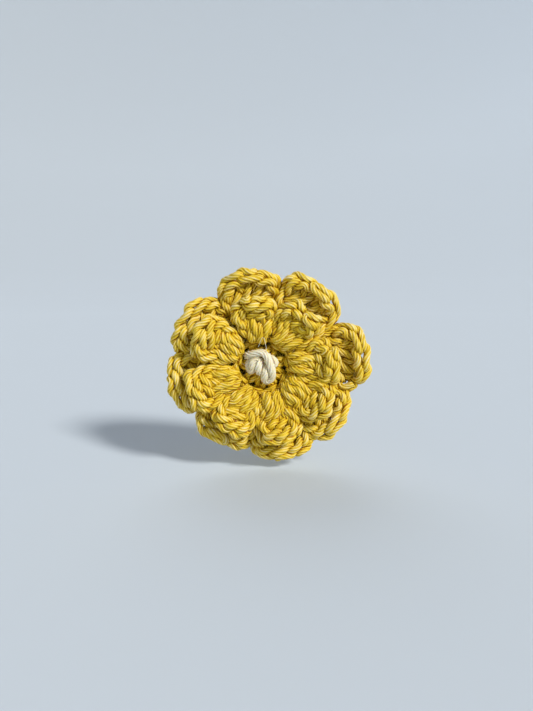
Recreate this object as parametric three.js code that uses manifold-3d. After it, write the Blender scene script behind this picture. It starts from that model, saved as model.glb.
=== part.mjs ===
// A crocheted flower hair clip: two rings of eight yarn petals round a knotted centre, sewn to a felt disc,
// with a sprung single-prong alligator clip glued to the felt.
// Millimetres. +Z up, +X to the right of the flower's face, and the flower faces -Y.
// The origin is on the flower's axis, in the clip's gripping face, where the hair is held.

import * as THREE from "three";
import { mergeVertices } from "three/addons/utils/BufferGeometryUtils.js";
import Module from "manifold-3d";

// ---- Driving dimensions -------------------------------------------------------------------------

const YARN = 2.0; // diameter of the cotton yarn
const FIT_GAP = 0.3; // between soft pieces that lie against each other

// Each petal: its direction clockwise from +Z in degrees, and how far its rim reaches from the axis.
const OUTER_PETALS = [
  [-9.5, 26.8],
  [37.4, 28.1],
  [84, 29.6],
  [126, 27.9],
  [168, 27.4],
  [212, 25.4],
  [256.5, 26.6],
  [303.5, 26.6],
];
const INNER_PETALS = [
  [-9, 18.6],
  [37, 18.8],
  [83, 19.6],
  [124, 20.2],
  [166, 20.4],
  [209.5, 19.2],
  [253, 20.6],
  [299.5, 20.2],
];

// Each ring of petals: where a petal starts, the depth of its middle surface there, how far the rim comes
// forward, how far its sides come forward of its middle, its half thickness, and its notch as a share of reach.
const OUTER_RING = { start: 9.8, depth: -4.5, rise: -1.4, cup: -0.9, half: 1.6, notch: 0.17 };
const INNER_RING = { start: 5.6, depth: -8.3, rise: -4.2, cup: -1.2, half: 1.5, notch: 0.2 };

const PLATE_THICK = 0.6; // sheet steel of both jaws
const GLUE_THICK = 0.4;
const FELT_THICK = 1.2;
const FELT_RADIUS = 15.5;
const GLUE_BACK = -PLATE_THICK;
const FELT_BACK = GLUE_BACK - GLUE_THICK;
const FELT_FRONT = FELT_BACK - FELT_THICK;

const FOUNDATION = { inside: 3.1, outside: 6.3, front: -6.4 };
const BACK_ROUND = { inside: 6.7, outside: 9.4, front: -5.6 };
const MAGIC_RING = { radius: 2.05, wire: 0.85, depth: -4.2 };
const KNOT_STEM = { radius: 0.9, front: -6.2 };
const KNOT = { depth: -8.9, half: 2.4 };

const STITCHES = 8; // sewing stitches that hold the felt
const STITCH = { ring: 13.4, length: 3.2, thread: 0.5 };

// The clip lies along X with its tip at -X. Its hinge pin stands along Z.
const CLIP = { tip: -24, tail: 22, width: 8, tipWidth: 5.6 };
const HINGE = { x: 9, y: 2.0 };
const PIN = { radius: 0.75, hole: 0.82, headRadius: 1.3, headThick: 0.5 };
const EAR = { from: 6.6, to: 11.4 };
const JAW_GAP = 0.25; // between the inner jaw's sides and the outer jaw's ears
const LEVER = { rootX: 12, rootY: 6.0, endX: 22.6, endY: 11.4 };
const ARCH = { midX: 3, midY: 5.6, frontX: -8, frontY: 3.6, tipY: 1.9 }; // the back of the inner jaw
const TEETH = { count: 5, pitch: 2, depth: 0.8, clear: 0.1 };
const SPRING = { wire: 0.6, coil: 1.15, turns: 4, pitch: 0.72, legEnd: 10.5 };

const HIGH = 14; // above every part of the clip
const ROUND_SIDES = 24; // sides of a small round hole or pin

// ---- Solids -------------------------------------------------------------------------------------

const wasm = await Module();
wasm.setup();

function toSolid(geometry) {
  const bare = geometry.clone();
  bare.deleteAttribute("normal");
  bare.deleteAttribute("uv");
  const merged = mergeVertices(bare, 1e-4);
  return new wasm.Manifold(
    new wasm.Mesh({
      numProp: 3,
      vertProperties: new Float32Array(merged.attributes.position.array),
      triVerts: new Uint32Array(merged.index.array),
    }),
  );
}

function toGeometry(solid) {
  const mesh = solid.getMesh();
  const geometry = new THREE.BufferGeometry();
  geometry.setAttribute("position", new THREE.BufferAttribute(new Float32Array(mesh.vertProperties), 3));
  geometry.setIndex(new THREE.BufferAttribute(new Uint32Array(mesh.triVerts), 1));
  geometry.computeVertexNormals();
  return geometry;
}

// A shape drawn in X and Y, extruded along Z from low to high.
function alongZ(shape, low, high, curveSegments = 12) {
  const geometry = new THREE.ExtrudeGeometry(shape, {
    depth: high - low,
    bevelEnabled: false,
    curveSegments,
  });
  return geometry.translate(0, 0, low);
}

// A shape drawn in X and Z, extruded along Y from low to high.
function alongY(shape, low, high, curveSegments = 12) {
  const geometry = alongZ(shape, -high, -low, curveSegments);
  return geometry.rotateX(Math.PI / 2);
}

// A solid of revolution about the Y axis. Its [radius, y] corners start and end on the axis, or go round
// a closed ring.
function turned(corners, sides = 48) {
  const closed = corners[0][0] === 0 ? corners : [...corners, corners[0]];
  return new THREE.LatheGeometry(
    closed.map(([radius, y]) => new THREE.Vector2(radius, y)),
    sides,
  );
}

// ---- Yarn pieces --------------------------------------------------------------------------------

// One petal, pointing along +Z: a cupped plate between two rays from the axis, with a rounded rim.
// left and right are the angles of its two sides, in radians.
function petalGeometry(ring, reach, left, right) {
  const across = 10;
  const outward = 5;
  const sheet = (side) => {
    const rows = [];
    for (let i = 0; i <= across; i++) {
      const share = (2 * i) / across - 1;
      const rim = reach * (1 - ring.notch * Math.abs(share) ** 2.6);
      const row = [];
      for (let j = 0; j <= outward; j++) {
        const out = j / outward;
        const radius = ring.start + (rim - ring.start) * out;
        const gap = FIT_GAP / 2 / radius;
        const angle = share < 0 ? share * (-left - gap) : share * (right - gap);
        const middle = ring.depth + ring.rise * out ** 1.7 + ring.cup * out * share ** 2;
        const half = ring.half * (1 - 0.3 * out ** 6);
        row.push([radius * Math.sin(angle), middle + side * half, radius * Math.cos(angle)]);
      }
      rows.push(row);
    }
    return rows;
  };
  const front = sheet(-1);
  const back = sheet(1);
  const points = [...front.flat(), ...back.flat()].flat();
  const wide = outward + 1;
  const backStart = (across + 1) * wide;
  const index = [];
  const quad = (a, b, c, d) => index.push(a, b, c, a, c, d);
  for (let i = 0; i < across; i++) {
    for (let j = 0; j < outward; j++) {
      const at = i * wide + j;
      quad(at, at + wide, at + wide + 1, at + 1);
      quad(backStart + at, backStart + at + 1, backStart + at + wide + 1, backStart + at + wide);
    }
    const foot = i * wide;
    const rim = foot + outward;
    quad(foot, backStart + foot, backStart + foot + wide, foot + wide);
    quad(rim, rim + wide, backStart + rim + wide, backStart + rim);
  }
  for (let j = 0; j < outward; j++) {
    const last = across * wide + j;
    quad(j, j + 1, backStart + j + 1, backStart + j);
    quad(last, backStart + last, backStart + last + 1, last + 1);
  }
  const geometry = new THREE.BufferGeometry();
  geometry.setAttribute("position", new THREE.Float32BufferAttribute(points, 3));
  geometry.setIndex(index);
  geometry.computeVertexNormals();
  return geometry;
}

// The petals of one ring. Neighbours meet halfway between their directions.
function petalRing(name, ring, petals, material) {
  const group = new THREE.Group();
  petals.forEach(([angle, reach], i) => {
    const before = petals[(i + petals.length - 1) % petals.length][0];
    const after = petals[(i + 1) % petals.length][0];
    const toBefore = (((angle - before + 360) % 360) / 2) * THREE.MathUtils.DEG2RAD;
    const toAfter = (((after - angle + 360) % 360) / 2) * THREE.MathUtils.DEG2RAD;
    const petal = new THREE.Mesh(petalGeometry(ring, reach, -toBefore, toAfter), material);
    petal.name = `${name}_${i + 1}`;
    petal.rotation.y = angle * THREE.MathUtils.DEG2RAD;
    group.add(petal);
  });
  return group;
}

// A flat crocheted ring that lies on the felt, with its front edges rounded off.
function flatRing({ inside, outside, front }) {
  const round = 0.8;
  return turned([
    [inside, FELT_FRONT],
    [inside, front + round],
    [inside + round, front],
    [outside - round, front],
    [outside, front + round],
    [outside, FELT_FRONT],
  ]);
}

function magicRing() {
  const geometry = new THREE.TorusGeometry(MAGIC_RING.radius, MAGIC_RING.wire, 10, 32);
  return geometry.rotateX(Math.PI / 2).translate(0, MAGIC_RING.depth, 0);
}

// The knot is a loop of thick yarn pulled tight: two big lobes and a small one.
function centreKnot() {
  const lobe = (x, z, wide, tall, turn) => {
    const ball = new THREE.SphereGeometry(1, 20, HIGH);
    ball.scale(wide, KNOT.half, tall).rotateY(turn).translate(x, KNOT.depth, z);
    return toSolid(ball);
  };
  const upper = lobe(-1.3, 1.3, 3.4, 2.9, 0.3);
  const lower = lobe(1.0, -2.0, 2.6, 3.1, 0.35);
  const small = lobe(3.4, 0.7, 1.4, 1.3, 0);
  return toGeometry(upper.add(lower).add(small));
}

function knotStem() {
  const length = FELT_FRONT - KNOT_STEM.front;
  const geometry = new THREE.CylinderGeometry(KNOT_STEM.radius, KNOT_STEM.radius, length, 16);
  return geometry.translate(0, KNOT_STEM.front + length / 2, 0);
}

// ---- Backing ------------------------------------------------------------------------------------

function feltDisc() {
  const bevel = 0.25;
  return turned([
    [0, FELT_FRONT],
    [FELT_RADIUS - bevel, FELT_FRONT],
    [FELT_RADIUS, FELT_FRONT + bevel],
    [FELT_RADIUS, FELT_BACK - bevel],
    [FELT_RADIUS - bevel, FELT_BACK],
    [0, FELT_BACK],
  ]);
}

// A sewing stitch lies on the felt's back along a radius and crosses the felt's edge zone.
function feltStitch() {
  const radius = STITCH.thread / 2;
  const geometry = new THREE.CapsuleGeometry(radius, STITCH.length - STITCH.thread, 4, 8);
  return geometry.rotateX(Math.PI / 2).translate(0, FELT_BACK + radius + 0.02, STITCH.ring);
}

function roundedBar(fromX, toX, fromWidth, toWidth) {
  const shape = new THREE.Shape();
  const startRadius = fromWidth / 2;
  const endRadius = toWidth / 2;
  shape.moveTo(fromX + startRadius, startRadius);
  shape.absarc(fromX + startRadius, 0, startRadius, Math.PI / 2, (3 * Math.PI) / 2, false);
  shape.lineTo(toX - endRadius, -endRadius);
  shape.absarc(toX - endRadius, 0, endRadius, -Math.PI / 2, Math.PI / 2, false);
  shape.closePath();
  return shape;
}

function gluePad() {
  const margin = 1.4;
  return alongY(
    roundedBar(CLIP.tip + 4, EAR.to + margin, CLIP.tipWidth + margin, CLIP.width + margin),
    FELT_BACK,
    GLUE_BACK,
  );
}

// ---- The clip -----------------------------------------------------------------------------------

// The plan outline of a jaw: a tapered strip with a round tip and a square-cornered, rounded tail.
function jawPlan(tip, tail, width, tipWidth, cornerRadius) {
  const half = width / 2;
  const tipRadius = tipWidth / 2;
  const shape = new THREE.Shape();
  shape.moveTo(tip + tipRadius, tipRadius);
  shape.absarc(tip + tipRadius, 0, tipRadius, Math.PI / 2, (3 * Math.PI) / 2, false);
  shape.lineTo(0, -half);
  shape.lineTo(tail - cornerRadius, -half);
  shape.absarc(tail - cornerRadius, -half + cornerRadius, cornerRadius, -Math.PI / 2, 0, false);
  shape.absarc(tail - cornerRadius, half - cornerRadius, cornerRadius, 0, Math.PI / 2, false);
  shape.lineTo(0, half);
  shape.closePath();
  return shape;
}

// The plan outline of the lever that the fingers press: a strip with square inner and rounded outer corners.
function leverPlan(from, to, width, cornerRadius) {
  const half = width / 2;
  const shape = new THREE.Shape();
  shape.moveTo(from, half);
  shape.lineTo(from, -half);
  shape.lineTo(to - cornerRadius, -half);
  shape.absarc(to - cornerRadius, -half + cornerRadius, cornerRadius, -Math.PI / 2, 0, false);
  shape.absarc(to - cornerRadius, half - cornerRadius, cornerRadius, 0, Math.PI / 2, false);
  shape.closePath();
  return shape;
}

function pinHole() {
  const hole = new THREE.CylinderGeometry(PIN.hole, PIN.hole, 2 * CLIP.width, ROUND_SIDES);
  return toSolid(hole.rotateX(Math.PI / 2).translate(HINGE.x, HINGE.y, 0));
}

function box(fromX, toX, fromY, toY, fromZ, toZ) {
  const geometry = new THREE.BoxGeometry(toX - fromX, toY - fromY, toZ - fromZ);
  return toSolid(geometry.translate((fromX + toX) / 2, (fromY + toY) / 2, (fromZ + toZ) / 2));
}

// The flat plate that the flower is glued to, with two ears folded back for the hinge pin.
function outerJaw() {
  const half = CLIP.width / 2;
  const side = new THREE.Shape();
  side.moveTo(CLIP.tip - 1, -PLATE_THICK);
  side.lineTo(CLIP.tail + 1, -PLATE_THICK);
  side.lineTo(CLIP.tail + 1, 0);
  side.lineTo(EAR.to, 0);
  side.lineTo(EAR.to, HINGE.y);
  side.absarc(HINGE.x, HINGE.y, EAR.to - HINGE.x, 0, Math.PI, false);
  side.lineTo(EAR.from, 0);
  side.lineTo(CLIP.tip - 1, 0);
  side.closePath();
  const blank = toSolid(alongZ(side, -half - 1, half + 1));
  const plan = toSolid(
    alongY(jawPlan(CLIP.tip, CLIP.tail, CLIP.width, CLIP.tipWidth, 2.6), -PLATE_THICK - 1, HIGH),
  );
  const between = box(EAR.from - 1, EAR.to + 1, 0, HIGH, -half + PLATE_THICK, half - PLATE_THICK);
  return toGeometry(blank.intersect(plan).subtract(between).subtract(pinHole()));
}

// The profile of the inner jaw seen along Z: a bowed channel with teeth at the tip, and a lever behind the pin.
function jawProfile() {
  const { rootX, rootY, endX, endY } = LEVER;
  const slope = Math.atan2(endY - rootY, endX - rootX);
  const downX = PLATE_THICK * Math.sin(slope);
  const downY = PLATE_THICK * Math.cos(slope);
  const toothEnd = CLIP.tip + 0.8;
  const shape = new THREE.Shape();
  shape.moveTo(endX, endY);
  shape.lineTo(rootX, rootY);
  shape.quadraticCurveTo(ARCH.midX, ARCH.midY, ARCH.frontX, ARCH.frontY);
  shape.lineTo(toothEnd, ARCH.tipY);
  shape.lineTo(toothEnd, TEETH.clear + TEETH.depth);
  for (let i = 0; i < TEETH.count; i++) {
    const x = toothEnd + i * TEETH.pitch;
    shape.lineTo(x + TEETH.pitch / 2, TEETH.clear);
    shape.lineTo(x + TEETH.pitch, TEETH.clear + TEETH.depth);
  }
  shape.lineTo(-9, 1.5);
  shape.quadraticCurveTo(0, 2.3, HINGE.x - 1.9, 1.5);
  shape.absarc(HINGE.x, HINGE.y, 1.9, Math.PI + 0.45, 2 * Math.PI, false);
  shape.lineTo(rootX + downX, rootY - downY);
  shape.lineTo(endX + downX, endY - downY);
  shape.closePath();
  return shape;
}

// What is cut out of the inner jaw's profile, so that only its web and its two sides are left.
function pocketProfile() {
  const shape = new THREE.Shape();
  shape.moveTo(LEVER.rootX + 0.25, -1);
  shape.lineTo(LEVER.rootX + 0.25, LEVER.rootY - PLATE_THICK + 0.1);
  shape.lineTo(LEVER.rootX, LEVER.rootY - PLATE_THICK);
  shape.quadraticCurveTo(ARCH.midX, ARCH.midY - PLATE_THICK, ARCH.frontX, ARCH.frontY - PLATE_THICK);
  shape.lineTo(CLIP.tip, ARCH.tipY - PLATE_THICK);
  shape.lineTo(CLIP.tip, -1);
  shape.closePath();
  return shape;
}

function innerJaw() {
  const width = CLIP.width - 2 * PLATE_THICK - 2 * JAW_GAP;
  const half = width / 2;
  const tip = CLIP.tip + 0.8;
  const tipWidth = 4.2;
  const reachZ = CLIP.width;
  const blank = toSolid(alongZ(jawProfile(), -reachZ, reachZ));
  const plan = toSolid(alongY(jawPlan(tip, LEVER.endX + 1, width, tipWidth, 0.5), -2, HIGH));
  const lever = toSolid(alongY(leverPlan(EAR.to + 0.4, LEVER.endX + 0.3, CLIP.width, 2.6), 0, HIGH));
  const pocket = toSolid(alongZ(pocketProfile(), -reachZ, reachZ)).intersect(
    toSolid(
      alongY(
        jawPlan(tip + PLATE_THICK, LEVER.endX, width - 2 * PLATE_THICK, tipWidth - 2 * PLATE_THICK, 0.5),
        -2,
        HIGH,
      ),
    ),
  );
  const solid = blank.intersect(plan.add(lever)).subtract(pocket).subtract(pinHole());
  return toGeometry(solid);
}

// A rivet: a pin along Z with a low domed head at each end.
function hingePin() {
  const inner = CLIP.width / 2 + 0.1;
  const { radius, headRadius, headThick } = PIN;
  const end = inner + headThick;
  const profile = [
    [0, -end],
    [headRadius * 0.6, -end + 0.08],
    [headRadius, -inner - 0.15],
    [headRadius, -inner],
    [radius, -inner],
    [radius, inner],
    [headRadius, inner],
    [headRadius, inner + 0.15],
    [headRadius * 0.6, end - 0.08],
    [0, end],
  ].map(([r, y]) => new THREE.Vector2(r, y));
  const geometry = new THREE.LatheGeometry(profile, ROUND_SIDES);
  return geometry.rotateX(Math.PI / 2).translate(HINGE.x, HINGE.y, 0);
}

// The spring's wire: a leg along the outer jaw, the coil round the pin, and a leg under the lever.
class SpringCurve extends THREE.Curve {
  getPoint(share) {
    const { coil, turns, pitch, legEnd } = SPRING;
    const slope = Math.atan2(LEVER.endY - LEVER.rootY, LEVER.endX - LEVER.rootX);
    const startAngle = -Math.PI / 2;
    const endAngle = startAngle - turns * 2 * Math.PI - (Math.PI - slope);
    const bottom = -(turns * pitch) / 2;
    const legShare = 0.14;
    const onCircle = (angle, z) =>
      new THREE.Vector3(HINGE.x + coil * Math.cos(angle), HINGE.y + coil * Math.sin(angle), z);
    if (share < legShare) {
      const out = 1 - share / legShare;
      const foot = onCircle(startAngle, bottom);
      return foot.add(new THREE.Vector3(legEnd * out, -0.4 * out, 0));
    }
    if (share > 1 - legShare) {
      const out = (share - 1 + legShare) / legShare;
      const foot = onCircle(endAngle, -bottom);
      return foot.add(new THREE.Vector3(legEnd * out * Math.cos(slope), legEnd * out * Math.sin(slope), 0));
    }
    const along = (share - legShare) / (1 - 2 * legShare);
    return onCircle(startAngle + (endAngle - startAngle) * along, bottom + turns * pitch * along);
  }
}

function torsionSpring() {
  const sides = 8;
  const section = new THREE.Shape();
  for (let i = 0; i < sides; i++) {
    const angle = (i / sides) * 2 * Math.PI;
    const x = (SPRING.wire / 2) * Math.cos(angle);
    const y = (SPRING.wire / 2) * Math.sin(angle);
    if (i === 0) section.moveTo(x, y);
    else section.lineTo(x, y);
  }
  section.closePath();
  return new THREE.ExtrudeGeometry(section, { steps: 110, bevelEnabled: false, extrudePath: new SpringCurve() });
}

// ---- Assembly -----------------------------------------------------------------------------------

const yellowYarn = new THREE.MeshStandardMaterial({ color: 0xe8c244, roughness: 0.9, metalness: 0 });
const whiteYarn = new THREE.MeshStandardMaterial({ color: 0xe9e0cc, roughness: 0.9, metalness: 0 });
const felt = new THREE.MeshStandardMaterial({ color: 0xf1ead8, roughness: 1, metalness: 0 });
const thread = new THREE.MeshStandardMaterial({ color: 0xe6cf6a, roughness: 0.7, metalness: 0 });
const glue = new THREE.MeshStandardMaterial({ color: 0xe4e0d2, roughness: 0.3, metalness: 0 });
const steel = new THREE.MeshStandardMaterial({ color: 0xc4c6c8, roughness: 0.25, metalness: 1 });

const flowerClip = new THREE.Group();

function add(name, geometry, material) {
  const mesh = new THREE.Mesh(geometry, material);
  mesh.name = name;
  flowerClip.add(mesh);
  return mesh;
}

flowerClip.add(petalRing("outer_petal", OUTER_RING, OUTER_PETALS, yellowYarn));
flowerClip.add(petalRing("inner_petal", INNER_RING, INNER_PETALS, yellowYarn));
add("foundation_ring", flatRing(FOUNDATION), yellowYarn);
add("back_round", flatRing(BACK_ROUND), yellowYarn);
add("magic_ring", magicRing(), yellowYarn);
add("centre_knot", centreKnot(), whiteYarn);
add("knot_stem", knotStem(), whiteYarn);
add("felt_disc", feltDisc(), felt);
for (let i = 0; i < STITCHES; i++) {
  const stitch = add(`felt_stitch_${i + 1}`, feltStitch(), thread);
  stitch.rotation.y = ((i + 0.5) * 2 * Math.PI) / STITCHES;
}
add("glue_pad", gluePad(), glue);
add("outer_jaw", outerJaw(), steel);
add("inner_jaw", innerJaw(), steel);
add("hinge_pin", hingePin(), steel);
add("torsion_spring", torsionSpring(), steel);

export default flowerClip;
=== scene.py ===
import math

import bmesh
import bpy
import numpy as np
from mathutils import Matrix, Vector
from mathutils.kdtree import KDTree


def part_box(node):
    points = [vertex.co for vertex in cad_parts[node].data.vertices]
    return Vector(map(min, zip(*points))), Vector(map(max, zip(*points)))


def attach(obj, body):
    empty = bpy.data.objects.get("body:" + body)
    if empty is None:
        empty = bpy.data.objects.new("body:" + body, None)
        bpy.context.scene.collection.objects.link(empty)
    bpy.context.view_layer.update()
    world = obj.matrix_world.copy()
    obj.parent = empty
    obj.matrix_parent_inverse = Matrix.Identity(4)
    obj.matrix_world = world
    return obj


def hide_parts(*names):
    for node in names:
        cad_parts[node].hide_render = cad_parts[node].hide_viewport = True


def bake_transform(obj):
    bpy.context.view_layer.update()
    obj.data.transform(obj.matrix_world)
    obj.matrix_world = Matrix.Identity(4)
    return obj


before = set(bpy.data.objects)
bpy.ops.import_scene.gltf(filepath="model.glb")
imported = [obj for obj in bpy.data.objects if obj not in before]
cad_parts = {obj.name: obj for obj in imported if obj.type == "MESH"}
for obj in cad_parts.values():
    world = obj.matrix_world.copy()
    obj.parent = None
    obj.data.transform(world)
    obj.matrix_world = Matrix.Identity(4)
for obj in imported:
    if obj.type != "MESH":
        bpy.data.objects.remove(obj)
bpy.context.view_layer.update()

MM = 0.001
FLOWER = "flower_and_outer_jaw"
JAW = "inner_jaw"

# ---- The crocheted flower's dimensions, in millimetres and degrees ---------

YARN = 1.9  # diameter
STEP = 0.62  # between yarn points while the loops settle
MIRROR = -1.0  # worked to the left, as a right hand does

# Each petal: direction clockwise from +Z, reach of its rim, half width and lean to one side.
INNER = [
    (-9.0, 18.6, 5.2, 0.0),
    (37.0, 18.8, 5.4, 0.1),
    (83.0, 19.6, 5.4, -0.1),
    (124.0, 20.2, 5.2, 0.1),
    (166.0, 20.4, 5.3, 0.0),
    (209.5, 19.2, 5.2, -0.1),
    (253.0, 20.6, 5.3, 0.1),
    (299.5, 20.2, 5.4, 0.0),
]
OUTER = [
    (-9.5, 25.6, 8.6, 0.0),
    (37.4, 26.9, 8.9, 0.1),
    (84.0, 28.4, 9.2, 0.0),
    (126.0, 26.7, 8.5, -0.1),
    (168.0, 26.2, 8.7, 0.1),
    (212.0, 24.2, 8.5, 0.0),
    (256.5, 25.4, 8.7, -0.1),
    (303.5, 25.4, 8.7, 0.1),
]
# Each ring of petals: the radius and front of their feet, the slope at foot and rim and how late it
# comes, how far the sides fold in, and the feet's spacing in yarn widths.
INNER_RING = dict(
    start=9.2, front=8.5, lift=(-2.0, 84.0), power=2.3, side=60.0, foot=0.3,
    stitches="ch ch hdc dc dc hdc ch ch",
)
OUTER_RING = dict(
    start=10.5, front=4.2, lift=(-6.0, 76.0), power=2.6, side=50.0, foot=0.6,
    stitches="ch ch tr tr tr tr tr ch ch",
)
UNEVEN = 0.11  # how far stitches stray from the pattern, in yarn widths
SPOKES = (25, 73, 112, 150, 186, 228, 275, 326)  # directions of the first round's stitches
KNOT_YARN = 2.2
PRESSED, KNOT_PRESSED = 0.76, 0.84  # how close settled runs of yarn lie, in yarn widths
CROWDED = (8.0, 11.5)  # radii between which the yarn widens from squeezed to free
LEAST_GAP, LEAST_YARN = 0.68, 0.84  # shares of that closeness and of the yarn's width when squeezed
NEIGHBOURS = 10  # how many touching runs of yarn paint shade on a place
OWN_RUN = 0.45  # points nearer than this share of the reach belong to the same run
CROWD, CROWD_REACH = 40, (2.2, 3.3)  # so many points of yarn lie this close in a fold and on a rim
CROWD_SHADE = 0.2  # how much painted shade a fold gets, beside the painted shade where yarn touches
ROUNDS, HOLD, BEND = 80, 0.03, 0.12  # of settling, and each one's pull to the pattern and to a smooth run
HAIR = 0.034  # radius of a loose fibre
HAIR_LENGTH = (0.25, 0.65, 2.1)  # the shortest, the usual and the longest
FELT_FRONT, FELT_BACK, FELT_RADIUS = 2.2, 1.0, 15.5  # its faces are this far in front of the clip
YARN_OFF_FELT = 0.75  # from the felt's face to the middle of the yarn
YARN_OFF_CLIP = 2.1

# ---- Curves ----------------------------------------------------------------


def smooth_curve(points, step):
    """Points a step apart on a centripetal Catmull-Rom curve through the given points."""
    p = np.asarray(points, float)
    keep = np.r_[True, np.linalg.norm(np.diff(p, axis=0), axis=1) > 1e-6]
    p = p[keep]
    p = np.vstack([2 * p[0] - p[1], p, 2 * p[-1] - p[-2]])
    knot = np.r_[0, np.cumsum(np.linalg.norm(np.diff(p, axis=0), axis=1) ** 0.5)]
    dense = []
    for i in range(1, len(p) - 2):
        t0, t1, t2, t3 = knot[i - 1 : i + 3]
        t = np.linspace(t1, t2, 12, endpoint=False)[:, None]
        a1 = (t1 - t) / (t1 - t0) * p[i - 1] + (t - t0) / (t1 - t0) * p[i]
        a2 = (t2 - t) / (t2 - t1) * p[i] + (t - t1) / (t2 - t1) * p[i + 1]
        a3 = (t3 - t) / (t3 - t2) * p[i + 1] + (t - t2) / (t3 - t2) * p[i + 2]
        b1 = (t2 - t) / (t2 - t0) * a1 + (t - t0) / (t2 - t0) * a2
        b2 = (t3 - t) / (t3 - t1) * a2 + (t - t1) / (t3 - t1) * a3
        dense.append((t2 - t) / (t2 - t1) * b1 + (t - t1) / (t2 - t1) * b2)
    dense.append(p[-2][None, :])
    return resample(np.vstack(dense), step)


def resample(points, step):
    along = np.r_[0, np.cumsum(np.linalg.norm(np.diff(points, axis=0), axis=1))]
    count = max(3, int(round(along[-1] / step)) + 1)
    at = np.linspace(0, along[-1], count)
    return np.stack([np.interp(at, along, points[:, i]) for i in range(points.shape[1])], axis=1)


# ---- Crochet: each stitch's yarn, in a petal's own flat coordinates --------


def up_post(v, height):
    """How far up a post v is: from 0 at its foot to 1 at its top, and in yarn widths beyond them."""
    return v * height if 0 <= v <= 1 else (v * YARN if v < 0 else height + (v - 1) * YARN)


class Petal:
    """A petal worked flat, then curled: x across, z outward and w toward its face, in millimetres."""

    def __init__(self, spec, ring):
        self.angle, self.reach, self.half, self.lean = spec
        self.stitches = ring["stitches"].split()
        self.ring = ring
        low, high = ring["lift"]
        b = np.linspace(0, 1, 200)
        turn = np.radians(low + (high - low) * b ** ring["power"])
        out = np.r_[0, np.cumsum(np.cos((turn[1:] + turn[:-1]) / 2)) / 199]
        fore = np.r_[0, np.cumsum(np.sin((turn[1:] + turn[:-1]) / 2)) / 199]
        self.length = (self.reach - 0.6 * YARN - ring["start"]) / out[-1]
        self.profile = (b * self.length, out * self.length, fore * self.length, turn)
        w, h, lean = self.half - 0.5 * YARN, self.length, self.lean * self.half
        corners = [(-0.34, 0.0), (-0.78, 0.26), (-1.0, 0.6), (-0.7, 0.9), (0, 1.0)]
        corners += [(-x, z) for x, z in reversed(corners[:-1])]
        self.outline = smooth_curve([(x * w + lean * z, z * h, 0) for x, z in corners], 0.1)[:, :2]
        self.outline_at = np.linspace(0, len(self.stitches), len(self.outline))

    def on_outline(self, s):
        return [np.interp(s, self.outline_at, self.outline[:, i]) for i in (0, 1)]

    def rim(self, s, r, w):
        """A point s stitches along the rim, r yarn widths outside it and w in front."""
        s = np.clip(s, 0, len(self.stitches))
        x, z = self.on_outline(s)
        x0, z0 = self.on_outline(s - 0.15)
        x1, z1 = self.on_outline(s + 0.15)
        tx, tz = x1 - x0, z1 - z0
        size = math.hypot(tx, tz)
        return (x - tz / size * r * YARN, z + tx / size * r * YARN, w * YARN)

    def post_frame(self, k):
        posts = [i for i, kind in enumerate(self.stitches) if kind != "ch"]
        j = posts.index(k) - (len(posts) - 1) / 2
        foot = np.array([j * self.ring["foot"] * YARN, 0.0])
        top = np.array(self.rim(k - 0.1, -0.75, 0)[:2])
        return foot, top

    def post(self, k, u, v, w):
        """A point on stitch k's post: u yarn widths across, v up it and w in front."""
        foot, top = self.post_frame(k)
        axis = top - foot
        height = np.linalg.norm(axis)
        axis = axis / height
        across = np.array([axis[1], -axis[0]])
        x, z = foot + axis * up_post(v, height) + across * u * YARN
        return (x, z, w * YARN)

    def place(self, points):
        """The curled petal's points, in the row's frame, in millimetres."""
        p = np.asarray(points, float)
        x, z, w = p.T
        flat, out, fore, turn = self.profile
        over = np.where(z > flat[-1], z - flat[-1], 0) + np.where(z < 0, z, 0)
        a = np.interp(z, flat, turn)
        r = np.interp(z, flat, out) + over * np.cos(a)
        f = np.interp(z, flat, fore) + over * np.sin(a)
        share = np.abs(x) / self.half
        fade = np.clip(0.15 + z / self.length, 0, 1)
        b = math.radians(self.ring["side"]) * np.clip(share, 0, 1.15) ** 2.5 * fade
        t = np.abs(x) * (1 - b**2 / 10 + b**4 / 216)
        g = np.abs(x) * (b / 3 - b**3 / 42)
        sign = np.sign(x)
        r = r - w * np.sin(a) * np.cos(b)
        f = f + g + w * np.cos(a) * np.cos(b)
        t = sign * t - sign * w * np.sin(b)
        r = r + self.ring["start"]
        f = f + self.ring["front"]
        t = t * MIRROR
        angle = math.radians(self.angle)
        east = r * math.sin(angle) + t * math.cos(angle)
        up = r * math.cos(angle) - t * math.sin(angle)
        return np.stack([east, -f, up], axis=1)


def top_loop(rim, k):
    """The V on top of stitch k: up through the last V, round its own head and back down behind."""
    legs = [(-0.1, 0.12, 0.18), (0.15, 0.48, 0.33), (0.5, 0.5, 0.46), (0.82, 0.22, 0.47)]
    path = [rim(k - 0.22, -0.5, 0.0)]
    path += [rim(k + s, r, w) for s, r, w in legs]
    path.append(rim(k + 1.02, -0.15, 0.0))
    path += [rim(k + s, r, -w) for s, r, w in reversed(legs)]
    return path


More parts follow.
